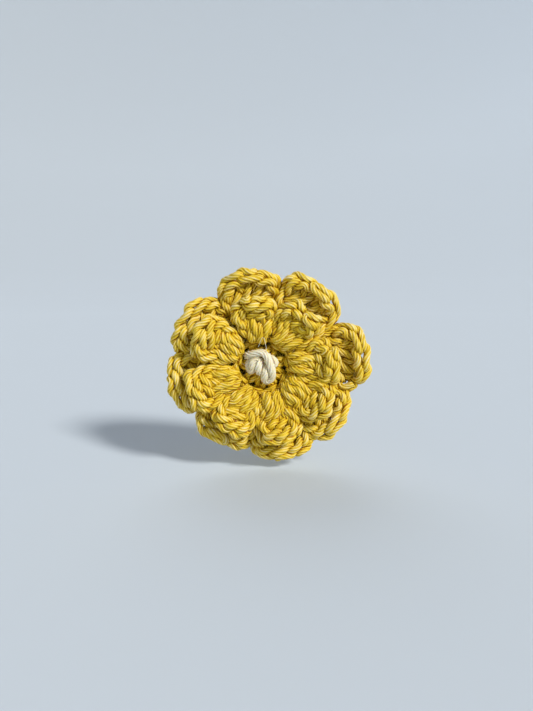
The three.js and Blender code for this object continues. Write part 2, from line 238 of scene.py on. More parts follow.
def post_loops(petal, k, necks):
    """The yarn of a post: its wraps, then one pulled-up loop for each section between the necks."""
    post = petal.post
    path = [petal.rim(k - 1.15, -0.7, -0.8), petal.rim(k - 0.75, -1.1, -0.7)]
    wrap = [(-0.72, 0.2, -0.25), (-0.5, 0.16, 0.6), (0.0, 0.02, 1.0)]
    wrap += [(0.5, -0.12, 0.7), (0.72, -0.18, -0.1), (0.2, -0.16, -1.1)]
    for neck in reversed(necks[1:-1]):
        path += [post(k, u, neck + v, w) for u, v, w in wrap]
    path += [post(k, 0.0, 0.12, -0.95), post(k, 0.0, -0.45, -0.75)]
    for i in range(len(necks) - 1):
        low, high = necks[i], necks[i + 1]
        span = high - low
        if i == 0:
            path += [post(k, -0.1, -0.8, 0.0), post(k, -0.3, -0.2, 0.7)]
        else:
            path += [post(k, -0.15, low - 0.05, -0.2), post(k, -0.35, low, 0.35)]
        path += [
            post(k, -0.44, low + 0.35 * span, 0.5),
            post(k, -0.42, low + 0.8 * span, 0.25),
            post(k, -0.25, high + 0.015, -0.15),
            post(k, 0.0, high + 0.03, -0.35),
            post(k, 0.25, high + 0.015, -0.15),
            post(k, 0.42, low + 0.8 * span, 0.25),
            post(k, 0.44, low + 0.35 * span, 0.5),
        ]
        if i == 0:
            path += [post(k, 0.3, -0.2, 0.7), post(k, 0.15, -0.8, 0.0), post(k, 0.15, -0.4, -0.7)]
        else:
            path += [post(k, 0.35, low, 0.35), post(k, 0.15, low - 0.05, -0.3)]
        path += [post(k, 0.3, low + 0.3 * span, -0.95), post(k, 0.15, low + 0.75 * span, -0.95)]
    return path


NECKS = {"hdc": [0, 1], "dc": [0, 0.74, 1], "tr": [0, 0.42, 0.72, 1]}


def petal_path(petal, rng):
    """The whole yarn of a petal, each stitch pulled a little tighter, looser or askew."""
    count = len(petal.stitches)
    rim = petal.rim
    half = petal.half
    path = [(-0.2 * half, -0.3 * YARN, -1.2 * YARN), (-0.34 * half, -0.1 * YARN, -0.6 * YARN)]
    for k, kind in enumerate(petal.stitches):
        stitch = []
        if kind != "ch":
            stitch += post_loops(petal, k, NECKS[kind])
        elif k:
            stitch += [rim(k - 1.1, -0.55, -0.5), rim(k - 0.75, -0.8, -0.3), rim(k - 0.4, -0.75, -0.1)]
        stitch = np.array(stitch + top_loop(rim, k))
        stitch += rng.normal(0, UNEVEN * YARN, 3) + rng.normal(0, 0.5 * UNEVEN * YARN, stitch.shape)
        path += [tuple(point) for point in stitch]
    path.append(rim(count - 1, -0.5, -0.6))
    path += [(0.34 * half, -0.2 * YARN, -1.0 * YARN), (0.1 * half, -0.2 * YARN, -1.2 * YARN)]
    return petal.place(smooth_curve(path, STEP))


class Round:
    """The first crocheted round, with the same calls as a petal, in its own flat coordinates."""

    def __init__(self, directions, radius, foot, front):
        turned = sorted((MIRROR * d) % 360 for d in directions)
        self.stitches = ["sc"] * len(turned)
        self.angles = np.radians(turned)
        self.radius, self.foot, self.front = radius, foot, front

    def angle(self, s):
        n = len(self.angles)
        whole = math.floor(s)
        low = self.angles[whole % n] + 2 * math.pi * (whole // n)
        high = self.angles[(whole + 1) % n] + 2 * math.pi * ((whole + 1) // n)
        return low + (high - low) * (s - whole)

    def rim(self, s, r, w):
        a, size = self.angle(s), self.radius + r * YARN
        return (size * math.sin(a), size * math.cos(a), w * YARN)

    def post(self, k, u, v, w):
        a = self.angle(k - 0.05)
        height = self.radius - 0.75 * YARN - self.foot
        rise = self.foot + up_post(v, height)
        return (
            rise * math.sin(a) + u * YARN * math.cos(a),
            rise * math.cos(a) - u * YARN * math.sin(a),
            w * YARN,
        )

    def place(self, points):
        x, z, w = np.asarray(points, float).T
        return np.stack([MIRROR * x, -(self.front + w), z], axis=1)


def round_path(ring):
    path = []
    for k in range(len(ring.stitches)):
        path += post_loops(ring, k, [0, 1])[(2 if k == 0 else 0):]
        path += top_loop(ring.rim, k)
    last = len(ring.stitches)
    tail = [(-1.1, -0.6, -0.6), (-0.7, -1.3, -0.3), (-0.5, -1.7, 0.1)]
    tail += [(-0.3, -1.3, 0.2), (0.1, -0.9, -0.7), (0.5, -0.9, -0.9)]
    path += [ring.rim(last + s, r, w) for s, r, w in tail]
    return ring.place(smooth_curve(path, STEP))


def ring_and_tail(radius, front, tail_radius, tail_front):
    """The loop that the first round is worked into, and its tail woven in behind the stitches."""
    turns = [0.0, 1.4, 1.8, 2.9]
    t = np.linspace(0, turns[-1], 170)
    r = np.interp(t, turns, [radius, radius, tail_radius, tail_radius])
    f = np.interp(t, turns, [front - 0.5 * YARN, front + 0.5 * YARN, tail_front, tail_front])
    a = 2 * math.pi * t
    return smooth_curve(np.stack([r * np.sin(a), -f, r * np.cos(a)], axis=1), STEP)


def chain_ring(radius, front, count):
    """A closed chain round the axis: the round behind the inner petals that carries the outer ones."""
    ring = Round([i * 360 / count for i in range(count)], radius, radius - 4, front)
    path = []
    for k in range(count):
        link = [(-1.1, -0.55, -0.5), (-0.75, -0.7, -0.3), (-0.4, -0.65, -0.1)]
        path += [ring.rim(k + s, r, w) for s, r, w in link]
        path += top_loop(ring.rim, k)
    return ring.place(smooth_curve(path, STEP))


# The knot's yarn: x to the right, z up and how far forward, from the stem and back to it.
KNOT = [
    (0.5, 0.9, 3.0), (0.4, 0.7, 5.6), (-0.4, -0.3, 6.9), (-1.1, -1.1, 8.2), (-1.2, -0.1, 9.4),
    (-0.9, 1.9, 9.5), (-1.4, 2.7, 8.9), (-2.4, 2.0, 8.6), (-2.6, 0.7, 9.3), (-2.6, -0.4, 9.0),
    (-2.9, -1.0, 8.0), (-3.6, -0.4, 7.6), (-3.9, 0.7, 8.2), (-3.7, 1.7, 7.8), (-2.6, 2.1, 7.0),
    (-1.0, 1.7, 6.9), (0.8, 1.3, 7.6), (2.6, 1.6, 8.3), (3.8, 1.3, 8.8), (3.4, 0.6, 8.4),
    (1.8, 0.5, 7.7), (-0.4, 0.9, 7.2), (-2.6, 1.3, 6.9), (-4.0, 2.1, 7.6), (-3.9, 2.9, 8.9),
    (-2.7, 3.8, 9.9), (-1.3, 4.6, 10.4), (0.1, 4.5, 10.8), (1.1, 3.1, 11.0), (1.7, 1.2, 11.0),
    (2.3, -0.9, 10.6), (2.5, -2.4, 9.8), (1.7, -3.6, 9.0), (0.5, -3.7, 9.0), (0.1, -2.5, 9.8),
    (0.3, -1.1, 10.2), (-0.1, 0.3, 9.8), (-0.4, 0.7, 8.2), (-0.5, 0.2, 5.6), (-0.5, 0.1, 3.0),
]
STRAY_FIBRE = [
    (0.6, 3.9, 10.8), (0.7, 5.0, 11.6), (0.5, 6.6, 12.2), (0.0, 8.4, 12.2), (-0.4, 8.6, 12.0),
    (-0.9, 7.4, 11.6), (-1.5, 5.8, 10.8),
]


def forward(points):
    x, z, f = np.asarray(points, float).T
    return np.stack([x, -f, z], axis=1)


def behind_felt(points):
    """Keeps the yarn in front of the felt, and clear of the clip outside it."""
    near = np.hypot(points[:, 0], points[:, 2]) < FELT_RADIUS + 0.6
    limit = np.where(near, -(FELT_FRONT + YARN_OFF_FELT), -YARN_OFF_CLIP)
    points[:, 1] = np.minimum(points[:, 1], limit)
    return points


# ---- Settling: the loops press each other apart ----------------------------


def squeezed(path, least):
    """How thick the yarn is at each point: it is pressed together where the petals' feet crowd."""
    radius = np.hypot(path[:, 0], path[:, 2])
    return least + (1 - least) * np.clip((radius - CROWDED[0]) / (CROWDED[1] - CROWDED[0]), 0, 1)


CELL_KEY = np.array([512 * 512, 512, 1])  # numbers the cells of a grid in x, y and z


def close_pairs(points, strand, index, reach, skip):
    """Index pairs of points closer than reach that aren't near each other along one strand."""
    cell = np.floor((points - points.min(0)) / reach).astype(np.int64) + 1
    key = cell @ CELL_KEY
    order = np.argsort(key, kind="stable")
    ranked = key[order]
    beside = (-1, 0, 1)
    shifts = [np.dot((x, y, z), CELL_KEY) for x in beside for y in beside for z in beside]
    pairs = []
    for shift in [shift for shift in shifts if shift >= 0]:
        left = np.searchsorted(ranked, key + shift, "left")
        right = np.searchsorted(ranked, key + shift, "right")
        n = right - left
        first = np.repeat(np.arange(len(points)), n)
        offset = np.arange(len(first)) - np.repeat(np.cumsum(n) - n, n)
        second = order[np.repeat(left, n) + offset]
        if shift == 0:
            once = first < second
            first, second = first[once], second[once]
        far = (strand[first] != strand[second]) | (np.abs(index[first] - index[second]) > skip)
        first, second = first[far], second[far]
        near = ((points[first] - points[second]) ** 2).sum(1) < reach * reach
        pairs.append(np.stack([first[near], second[near]]))
    return np.concatenate(pairs, axis=1)


def settle(strands, thickness):
    """Moves the strands apart where they overlap, keeping their lengths and rough places."""
    points = np.vstack(strands)
    sizes = [len(s) for s in strands]
    strand = np.repeat(np.arange(len(strands)), sizes)
    index = np.concatenate([np.arange(n) for n in sizes])
    wide = np.concatenate([np.broadcast_to(t, n) for t, n in zip(thickness, sizes)])
    start = points.copy()
    joined = index < np.repeat(sizes, sizes) - 1
    inner = np.flatnonzero((index > 0) & joined)
    links = np.flatnonzero(joined)
    rest = np.linalg.norm(points[links + 1] - points[links], axis=1)
    rest = 0.5 * rest + 0.5 * STEP * 0.97  # half way to even steps
    for turn in range(ROUNDS):
        if turn % 4 == 0:
            pairs = close_pairs(points, strand, index, float(wide.max()) * 1.15, 4)
            least = (wide[pairs[0]] + wide[pairs[1]]) / 2
            gap = np.abs(index[pairs[0]] - index[pairs[1]]) * STEP
            same = strand[pairs[0]] == strand[pairs[1]]
            least = np.where(same, np.minimum(least, gap * 0.55), least)  # so a run can turn tightly
        grow = min(1.0, 0.55 + turn / (0.6 * ROUNDS))  # the yarn starts thin
        push = np.zeros_like(points)
        count = np.zeros(len(points))
        a, b = pairs
        d = points[a] - points[b]
        size = np.sqrt((d * d).sum(1)) + 1e-9
        lack = least * grow - size
        on = lack > 0
        move = (d[on] / size[on, None]) * (0.5 * lack[on, None])
        np.add.at(push, a[on], move)
        np.add.at(push, b[on], -move)
        np.add.at(count, a[on], 1)
        np.add.at(count, b[on], 1)
        points = points + 0.9 * push / np.maximum(1, count * 0.5)[:, None]
        middle = (points[inner - 1] + points[inner + 1]) / 2
        points[inner] += BEND * (middle - points[inner])
        points += HOLD * (1 - 0.6 * turn / ROUNDS) * (start - points)
        points = behind_felt(points)
        for _ in range(3):
            d = points[links + 1] - points[links]
            size = np.sqrt((d * d).sum(1)) + 1e-9
            fix = d * ((size - rest) / size * 0.5)[:, None]
            move = np.zeros_like(points)
            np.add.at(move, links, fix)
            np.add.at(move, links + 1, -fix)
            points += move * 0.9
    return np.split(points, np.cumsum(sizes)[:-1])


# ---- Yarn meshes -----------------------------------------------------------


def new_object(name, data):
    thing = bpy.data.objects.new(name, data)
    bpy.context.scene.collection.objects.link(thing)
    return thing


def set_map(mesh, *parts):
    """Gives the mesh a map of its own, from places for the corners of its faces in their order."""
    layer = mesh.uv_layers.new(name="OFBake")
    layer.data.foreach_set("uv", np.concatenate([part.reshape(-1) for part in parts]).astype(np.float32))


def unwrap_yarn(mesh, rings, sides, step, girth):
    """Lays the yarn's skin out in rows of equal length, one above the other, with its ends on top."""
    rows = max(1, math.ceil(math.sqrt(rings * step / (girth * 1.12))))
    per_row = math.ceil(rings / rows)
    across = np.arange(sides)
    row = (np.arange(rings) // per_row)[:, None]
    u0 = (np.arange(rings) % per_row / per_row)[:, None] + 0 * across
    u1 = u0 + 1 / per_row
    v0 = (row + 0.03 + 0.9 * across / sides) / (rows + 1)
    v1 = (row + 0.03 + 0.9 * (across + 1) / sides) / (rows + 1)
    turns = 2 * math.pi * across / sides
    size = 0.4 * min(1 / 2, 1 / (rows + 1))
    u, v = size * np.cos(turns), 1 - 0.5 / (rows + 1) + size * np.sin(turns)
    ends = [np.stack([middle + u, v], axis=1) for middle in (0.25, 0.75)]
    set_map(mesh, np.stack([u0, v0, u0, v1, u1, v1, u1, v0], axis=2), *ends)


def tree_of(points):
    tree = KDTree(len(points))
    for i, point in enumerate(points):
        tree.insert(point, i)
    tree.balance()
    return tree


def crowding(path, tree):
    """How closely yarn lies round each point of a path: 0 on a free rim, 1 deep in a fold."""
    reach = np.array([tree.find_n(point, CROWD)[-1][2] for point in path])
    return np.clip((CROWD_REACH[1] - reach) / (CROWD_REACH[1] - CROWD_REACH[0]), 0, 1)


def touching(path, tree, reach):
    """For each point of a path, the directions of its nearest neighbours on other runs of yarn."""
    found = np.zeros((len(path), NEIGHBOURS, 3))
    for i, point in enumerate(path):
        n = 0
        for place, _, distance in tree.find_range(point, reach):
            if distance < OWN_RUN * reach or n == NEIGHBOURS:
                continue
            found[i, n] = (np.array(place) - point) / distance
            n += 1
    return found


def across_run(p):
    """Two directions across a run of yarn at each of its points, turning as little as they can."""
    tangent = np.gradient(p, axis=0)
    tangent /= np.linalg.norm(tangent, axis=1)[:, None]
    side = np.zeros_like(p)
    start = np.cross(tangent[0], [0.3, 1.0, 0.2])
    side[0] = start / np.linalg.norm(start)
    for i in range(1, len(p)):
        v = side[i - 1] - tangent[i] * (side[i - 1] @ tangent[i])
        side[i] = v / np.linalg.norm(v)
    return side, np.cross(tangent, side)


def tube_mesh(name, verts, rings, sides):
    """A closed tube from rings of points in millimetres."""
    i = np.arange(rings - 1)[:, None] * sides
    j = np.arange(sides)[None, :]
    j2 = (j + 1) % sides
    quads = np.stack([i + j, i + j2, i + sides + j2, i + sides + j], axis=2).reshape(-1)
    caps = [np.arange(sides)[::-1], (rings - 1) * sides + np.arange(sides)]
    starts = np.r_[np.arange(0, len(quads), 4), len(quads), len(quads) + sides]
    mesh = bpy.data.meshes.new(name)
    mesh.vertices.add(len(verts))
    mesh.vertices.foreach_set("co", (verts * MM).astype(np.float32).ravel())
    mesh.loops.add(len(quads) + 2 * sides)
    mesh.loops.foreach_set("vertex_index", np.concatenate([quads, *caps]).astype(np.int32))
    mesh.polygons.add(len(starts))
    mesh.polygons.foreach_set("loop_start", starts.astype(np.int32))
    mesh.polygons.foreach_set("use_smooth", np.ones(len(starts), dtype=bool))
    mesh.update(calc_edges=True)
    mesh.validate()
    return mesh


def yarn_mesh(
    name, path, radius, plies=6, lay=10.0, groove=0.27, per_ply=4, step=0.42, rough=1.0,
    seed=1, others=None, least=1.0,
):
    """Plied yarn along a path, with attributes for its material; others is the tree of all yarn."""
    rng = np.random.default_rng(seed)
    sides = plies * per_ply
    x = np.tile(np.linspace(-1, 1, per_ply, endpoint=False), plies)
    dent = 1 - np.sqrt(1 - x * x)
    p = resample(smooth_curve(path, step / 2), step)
    n = len(p)
    side, other = across_run(p)
    s = np.arange(n) * step
    knots = np.arange(0, s[-1] + 12, 3.0)
    vary = rough * np.interp(s, knots, rng.normal(0, 0.03, len(knots)))
    turn = 2 * math.pi * s / lay + np.interp(s, knots, rng.normal(0, 0.12, len(knots)))
    base_angle = (np.arange(sides) / sides + 0.5 / plies) * 2 * math.pi
    ply_vary = np.stack([np.interp(s, knots, rng.normal(0, 0.04, len(knots))) for _ in range(plies)], 1)
    ply_vary = rough * np.repeat(ply_vary, per_ply, axis=1)
    angle = base_angle[None, :] + turn[:, None]
    size = radius * (1 - groove * dent)[None, :] * (1 + vary[:, None]) * (1 + ply_vary)
    if others:
        size = size * squeezed(p, least)[:, None]
    from_end = np.minimum(np.arange(n), np.arange(n)[::-1]) + 0.35
    size = size * np.minimum(1, from_end / 2.0)[:, None] ** 0.5
    outward = side[:, None, :] * np.cos(angle)[:, :, None] + other[:, None, :] * np.sin(angle)[:, :, None]
    # painted shade: darker where a place faces touching runs of yarn, and more so deep in folds
    painted_contact_shade = np.zeros((n, sides))
    if others:
        near = touching(p, others, 2.4 * radius)
        facing = np.einsum("nsk,nmk->nsm", outward, near).clip(0, 1) ** 4
        painted_contact_shade = facing.max(axis=2) + CROWD_SHADE * crowding(p, others)[:, None]
    round_yarn = np.cos(base_angle) * radius, np.sin(base_angle) * radius, (s + rng.uniform(0, 100))[:, None]
    fibre = np.stack([np.broadcast_to(values, (n, sides)) for values in round_yarn], axis=2)
    mesh = tube_mesh(name, (p[:, None, :] + outward * size[:, :, None]).reshape(-1, 3), n, sides)
    for key, kind, field, values in (
        ("fibre", "FLOAT_VECTOR", "vector", fibre),
        ("groove", "FLOAT", "value", np.broadcast_to(dent, (n, sides))),
        ("painted_contact_shade", "FLOAT", "value", painted_contact_shade),
    ):
        store = mesh.attributes.new(key, kind, "POINT")
        store.data.foreach_set(field, values.astype(np.float32).ravel())
    unwrap_yarn(mesh, n - 1, sides, step, 2 * math.pi * radius)
    return new_object(name, mesh)


def grid_faces(rows, around, first=0):
    """Four-sided faces between closed rows of points, one row after the other."""
    faces = []
    for low in range(first, first + (rows - 1) * around, around):
        for j in range(around):
            j2 = (j + 1) % around
            faces.append((low + j, low + j2, low + around + j2, low + around + j))
    return faces


def fuzz_mesh(name, paths, radius, count, seed):
    """Loose fibre ends that stand off the yarn: three-sided hairs, thinner to their tips."""
    rng = np.random.default_rng(seed)
    points = np.vstack(paths)
    tangents = np.vstack([np.gradient(path, axis=0) for path in paths])
    tangents /= np.linalg.norm(tangents, axis=1)[:, None]
    pick = rng.integers(0, len(points), count)
    tangent = tangents[pick] * rng.choice([-1.0, 1.0], count)[:, None]
    around = rng.normal(size=(count, 3))
    around -= tangent * (around * tangent).sum(1)[:, None]
    around /= np.linalg.norm(around, axis=1)[:, None]
    shortest, usual, longest = HAIR_LENGTH
    length = np.clip(rng.exponential(usual, count), shortest, longest)[:, None]
    lean = rng.uniform(0.3, 1.3, count)[:, None]
    curl = rng.normal(0, 0.35, (count, 3))
    rows, segments = [], 4
    for i in range(segments + 1):
        t = i / segments
        at = points[pick] + around * 0.9 * radius
        at = at + length * t * (around * (1 - 0.45 * t) + tangent * lean + curl * t * t)
        rows.append(at)
    side = np.cross(tangent, around)
    verts = []
    for i, at in enumerate(rows):
        wide = HAIR * (1 - 0.7 * i / segments)
        for j in range(3):
            a = 2 * math.pi * j / 3
            verts.append(at + wide * (side * math.cos(a) + np.cross(side, around) * math.sin(a)))
    verts = np.stack(verts, axis=1).reshape(-1, 3)
    per = 3 * (segments + 1)
    hairs = np.arange(count)[:, None, None] * per
    quads = (hairs + np.array(grid_faces(segments + 1, 3))[None]).reshape(-1, 4)
    caps = (hairs + np.array([(2, 1, 0), (per - 3, per - 2, per - 1)])[None]).reshape(-1, 3)
    mesh = bpy.data.meshes.new(name)
    mesh.from_pydata((verts * MM).tolist(), [], quads.tolist() + caps.tolist())
    mesh.update()
    unwrap_hairs(mesh, count, segments)
    return new_object(name, mesh)


def unwrap_hairs(mesh, count, segments):
    """Gives each hair a small square of the map: its skin in one corner and its two ends in another."""
    rows = math.ceil(math.sqrt(count))
    square = np.stack([np.arange(count) % rows, np.arange(count) // rows], axis=1)[:, None, :]
    corners = ((0, 0), (1, 0), (1, 1), (0, 1))
    skin = [(j + a, i + b) for i in range(segments) for j in range(3) for a, b in corners]
    ends = [(0, 0), (1, 0), (0, 1)] * 2
    skin = (square + 0.1 + 0.6 * np.array(skin) / (3, segments)) / rows
    set_map(mesh, skin, (square + 0.75 + 0.15 * np.array(ends)) / rows)


# ---- Materials -------------------------------------------------------------


class Nodes:
    """Short calls for building one material's node tree."""

    def __init__(self, name):
        self.material = bpy.data.materials.new(name)
        self.material.use_nodes = True
        self.tree = self.material.node_tree
        self.shader = self.tree.nodes["Principled BSDF"]

    def put(self, node, **values):
        """Sets a node's properties, and its sockets by their names with _ for each space."""
        for key, value in values.items():
            if hasattr(node, key):
                setattr(node, key, value)
            else:
                node.inputs[key.replace("_", " ")].default_value = value
        return node

    def add(self, kind, **values):
        return self.put(self.tree.nodes.new(kind), **values)

    def shade(self, color, **values):
        self.link(color, self.shader.inputs["Base Color"])
        self.put(self.shader, **values)

    def link(self, source, target):
        self.tree.links.new(source, target)

    def attribute(self, name):
        return self.add("ShaderNodeAttribute", attribute_name=name).outputs

    def stretched(self, place, scale):
        node = self.add("ShaderNodeMapping", Scale=scale)
        self.link(place, node.inputs["Vector"])
        return node.outputs["Vector"]

    def noise(self, place, **values):
        node = self.add("ShaderNodeTexNoise", **values)
        self.link(place, node.inputs["Vector"])
        return node.outputs["Fac"]

    def scaled(self, source, factor, more):
        """The source times a factor, plus another source or a number."""
        node = self.add("ShaderNodeMath", operation="MULTIPLY_ADD")
        self.link(source, node.inputs[0])
        node.inputs[1].default_value = factor
        if isinstance(more, float):
            node.inputs[2].default_value = more
        else:
            self.link(more, node.inputs[2])
        return node.outputs["Value"]

    def ramp(self, source, stops):
        node = self.add("ShaderNodeValToRGB")
        for element, stop in zip(node.color_ramp.elements, (stops[0], stops[-1])):
            element.position, element.color = stop
        for place, color in stops[1:-1]:
            node.color_ramp.elements.new(place).color = color
        self.link(source, node.inputs["Fac"])
        return node.outputs["Color"]

    def roughen(self, source, low, high, **values):
        node = self.add("ShaderNodeMapRange", To_Min=low, To_Max=high, **values)
        self.link(source, node.inputs["Value"])
        self.link(node.outputs["Result"], self.shader.inputs["Roughness"])

    def bump(self, height, strength, depth):
        """Dents as deep as the given millimetres."""
        node = self.add("ShaderNodeBump", Strength=strength, Distance=depth * MM)
        self.link(height, node.inputs["Height"])
        self.link(node.outputs["Normal"], self.shader.inputs["Normal"])


def object_noise(n, scale, detail, stretch=(1, 1, 1)):
    """Noise fixed to the piece, at a scale per millimetre."""
    place = n.add("ShaderNodeTexCoord").outputs["Object"]
    return n.noise(n.stretched(place, tuple(s * scale / MM for s in stretch)), Scale=1.0, Detail=detail)


def fibre_material(name, dark, light):
    n = Nodes(name)
    n.shade(n.ramp(object_noise(n, 0.6, 3.0), [(0.35, dark), (0.65, light)]), Roughness=0.6, Sheen_Weight=0.2)
    return n.material


STREAKS, PATCHES = 1.15, 0.45  # how much each of them changes the yarn's colour
# how deep the painted shade is in the grooves between plies and where runs of yarn touch
GROOVE_SHADE_DEPTH, CONTACT_SHADE_DEPTH = -0.27, -0.55


def yarn_material(name, light, middle, dark, sheen, roughness):
    """Streaks of light and dark fibre along the plies, with painted shade between the plies and where runs of
    yarn meet.
    """
    n = Nodes(name)
    place = n.attribute("fibre")["Vector"]
    fine = n.noise(n.stretched(place, (5.0, 5.0, 0.45)), Scale=1.0, Detail=5.0, Roughness=0.65)
    patch = n.noise(place, Scale=0.35, Detail=2.0)
    level = n.scaled(patch, PATCHES, n.scaled(fine, STREAKS, -0.07))
    # painted shade in the grooves between the plies
    level = n.scaled(n.attribute("groove")["Fac"], GROOVE_SHADE_DEPTH, level)
    # painted shade where other runs of yarn touch and in folds
    level = n.scaled(n.attribute("painted_contact_shade")["Fac"], CONTACT_SHADE_DEPTH, level)
    n.shade(
        n.ramp(level, [(0.2, dark), (0.6, middle), (0.86, light)]),
        Sheen_Weight=sheen, Sheen_Roughness=0.5, Sheen_Tint=middle, Specular_IOR_Level=0.22,
    )
    n.roughen(fine, roughness - 0.1, roughness + 0.12)
    n.bump(fine, 0.9, 0.16)
    return n


YELLOW = yarn_material(
    "yellow_cotton", (0.89, 0.74, 0.35, 1), (0.80, 0.56, 0.016, 1), (0.31, 0.105, 0.001, 1), 0.02, 0.5
).material
white_cotton = yarn_material(
    "white_cotton", (0.83, 0.80, 0.69, 1), (0.81, 0.735, 0.51, 1), (0.77, 0.63, 0.37, 1), 0.05, 0.5
)
white_cotton.put(
    white_cotton.shader,
    Subsurface_Weight=0.45, Subsurface_Radius=(1.0, 0.75, 0.45), Subsurface_Scale=0.6 * MM,
)
WHITE = white_cotton.material

# ---- Assemble --------------------------------------------------------------


def finish_piece(piece, material, body, slot, *nodes):
    """Gives a piece its material and body, and hides the CAD nodes that it stands for; the slot is not used.
    """
    piece.data.materials.append(material)
    if body:
        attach(piece, body)
    if nodes:
        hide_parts(*nodes)


petals = [Petal(spec, INNER_RING) for spec in INNER] + [Petal(spec, OUTER_RING) for spec in OUTER]
names = [f"inner_petal_{i + 1}" for i in range(8)] + [f"outer_petal_{i + 1}" for i in range(8)]
names += ["foundation_ring", "back_round", "magic_ring"]
rng = np.random.default_rng(11)
strands = [petal_path(petal, rng) for petal in petals]
strands.append(round_path(Round(SPOKES, radius=7.1, foot=2.3, front=6.4)))
strands.append(chain_ring(radius=8.4, front=3.6, count=12))
strands.append(ring_and_tail(radius=1.9, front=3.9, tail_radius=5.4, tail_front=3.5))
strands.append(smooth_curve(forward(KNOT), STEP))
thick = [PRESSED * YARN * squeezed(path, LEAST_GAP) for path in strands[:-1]]
strands = settle(strands, thick + [KNOT_PRESSED * KNOT_YARN])

everything = tree_of(np.vstack(strands))
for i, (name, path) in enumerate(zip(names, strands)):
    piece = yarn_mesh(
        name + "_crochet", path, 0.52 * YARN, seed=i + 1, others=everything, least=LEAST_YARN
    )
    finish_piece(piece, YELLOW, FLOWER, "yellow_yarn", name)
knot = yarn_mesh(
    "centre_knot_yarn", strands[-1], KNOT_YARN / 2, plies=7, lay=12.0, groove=0.3, seed=77, others=everything
)
fibre = yarn_mesh("knot_stray_fibre", forward(STRAY_FIBRE), 0.07, plies=2, lay=1.5, step=0.12, seed=78)
finish_piece(fibre, WHITE, FLOWER, "white_yarn")
finish_piece(knot, WHITE, FLOWER, "white_yarn", "centre_knot", "knot_stem")

yellow_fibres = fibre_material("yellow_fibres", (0.92, 0.70, 0.10, 1), (1.0, 0.86, 0.36, 1))
for ring, first, hairs in (("inner", 0, 4600), ("outer", 8, 6400)):
    fuzz = fuzz_mesh(f"{ring}_petals_fuzz", strands[first : first + 8], YARN / 2, hairs, 31 + first)
    finish_piece(fuzz, yellow_fibres, FLOWER, "yellow_yarn")
fuzz = fuzz_mesh("white_yarn_fuzz", strands[-1:], KNOT_YARN / 2, 260, 32)
white_fibres = fibre_material("white_fibres", (0.85, 0.80, 0.66, 1), (0.98, 0.95, 0.86, 1))
finish_piece(fuzz, white_fibres, FLOWER, "white_yarn")

# ---- Felt, thread and glue -------------------------------------------------


def felt_material():
    n = Nodes("cream_felt")
    clumps = object_noise(n, 1.1, 6.0)
    both = n.scaled(clumps, 0.6, object_noise(n, 5.0, 5.0, (1.0, 1.0, 0.35)))
    stops = [(0.45, (0.62, 0.53, 0.37, 1)), (0.8, (0.80, 0.72, 0.54, 1)), (1.1, (0.88, 0.82, 0.67, 1))]
    n.shade(n.ramp(both, stops), Roughness=0.95, Specular_IOR_Level=0.2, Sheen_Weight=0.4)
    n.bump(both, 0.9, 0.25)
    return n.material


def glue_material():
    n = Nodes("hot_glue")
    cloudy = n.ramp(object_noise(n, 0.5, 3.0), [(0.3, (0.62, 0.56, 0.42, 1)), (0.7, (0.80, 0.76, 0.64, 1))])
    n.shade(cloudy, Roughness=0.22, Subsurface_Weight=0.35, Subsurface_Scale=0.8 * MM, Coat_Weight=0.3)
    n.bump(object_noise(n, 0.9, 2.0), 0.35, 0.3)
    return n.material


def metal_material(name, light, dark, roughness):
    """Plated steel: fine scratches along the strip, cloudy handling marks and dull specks."""
    n = Nodes(name)
    marks = object_noise(n, 0.28, 5.0)
    lines = object_noise(n, 14.0, 4.0, (0.04, 1.0, 1.0))
    n.shade(n.ramp(marks, [(0.35, dark), (0.6, light)]), Metallic=1.0)
    wear = n.scaled(lines, 0.35, marks)
    n.roughen(wear, roughness - 0.09, roughness + 0.1, From_Min=0.4, From_Max=0.95)
    n.bump(lines, 0.12, 0.02)
    return n.material


FELT = felt_material()
GLUE = glue_material()
NICKEL = metal_material("nickel_plate", (0.66, 0.64, 0.60, 1), (0.60, 0.58, 0.54, 1), 0.2)
WIRE = metal_material("spring_wire", (0.55, 0.54, 0.52, 1), (0.40, 0.39, 0.37, 1), 0.3)
THREAD = yarn_material(
    "yellow_thread", (0.95, 0.78, 0.25, 1), (0.82, 0.62, 0.12, 1), (0.45, 0.30, 0.04, 1), 0.25, 0.35
).material

STITCH_ANGLES = [(i + 0.5) * 45 for i in range(8)]
STITCH_FROM, STITCH_TO = 11.9, 15.3  # how far from the middle the stitches enter and leave the felt's back


def mesh_piece(name, verts, faces, material, body, slot, *nodes):
    """A smooth-shaded piece from points in millimetres, standing for the CAD nodes given."""
    mesh = bpy.data.meshes.new(name)
    mesh.from_pydata([tuple(np.asarray(v) * MM) for v in verts], [], faces)
    mesh.polygons.foreach_set("use_smooth", [True] * len(mesh.polygons))
    mesh.update()
    mesh.validate()
    piece = new_object(name, mesh)
    finish_piece(piece, material, body, slot, *nodes)
    return piece


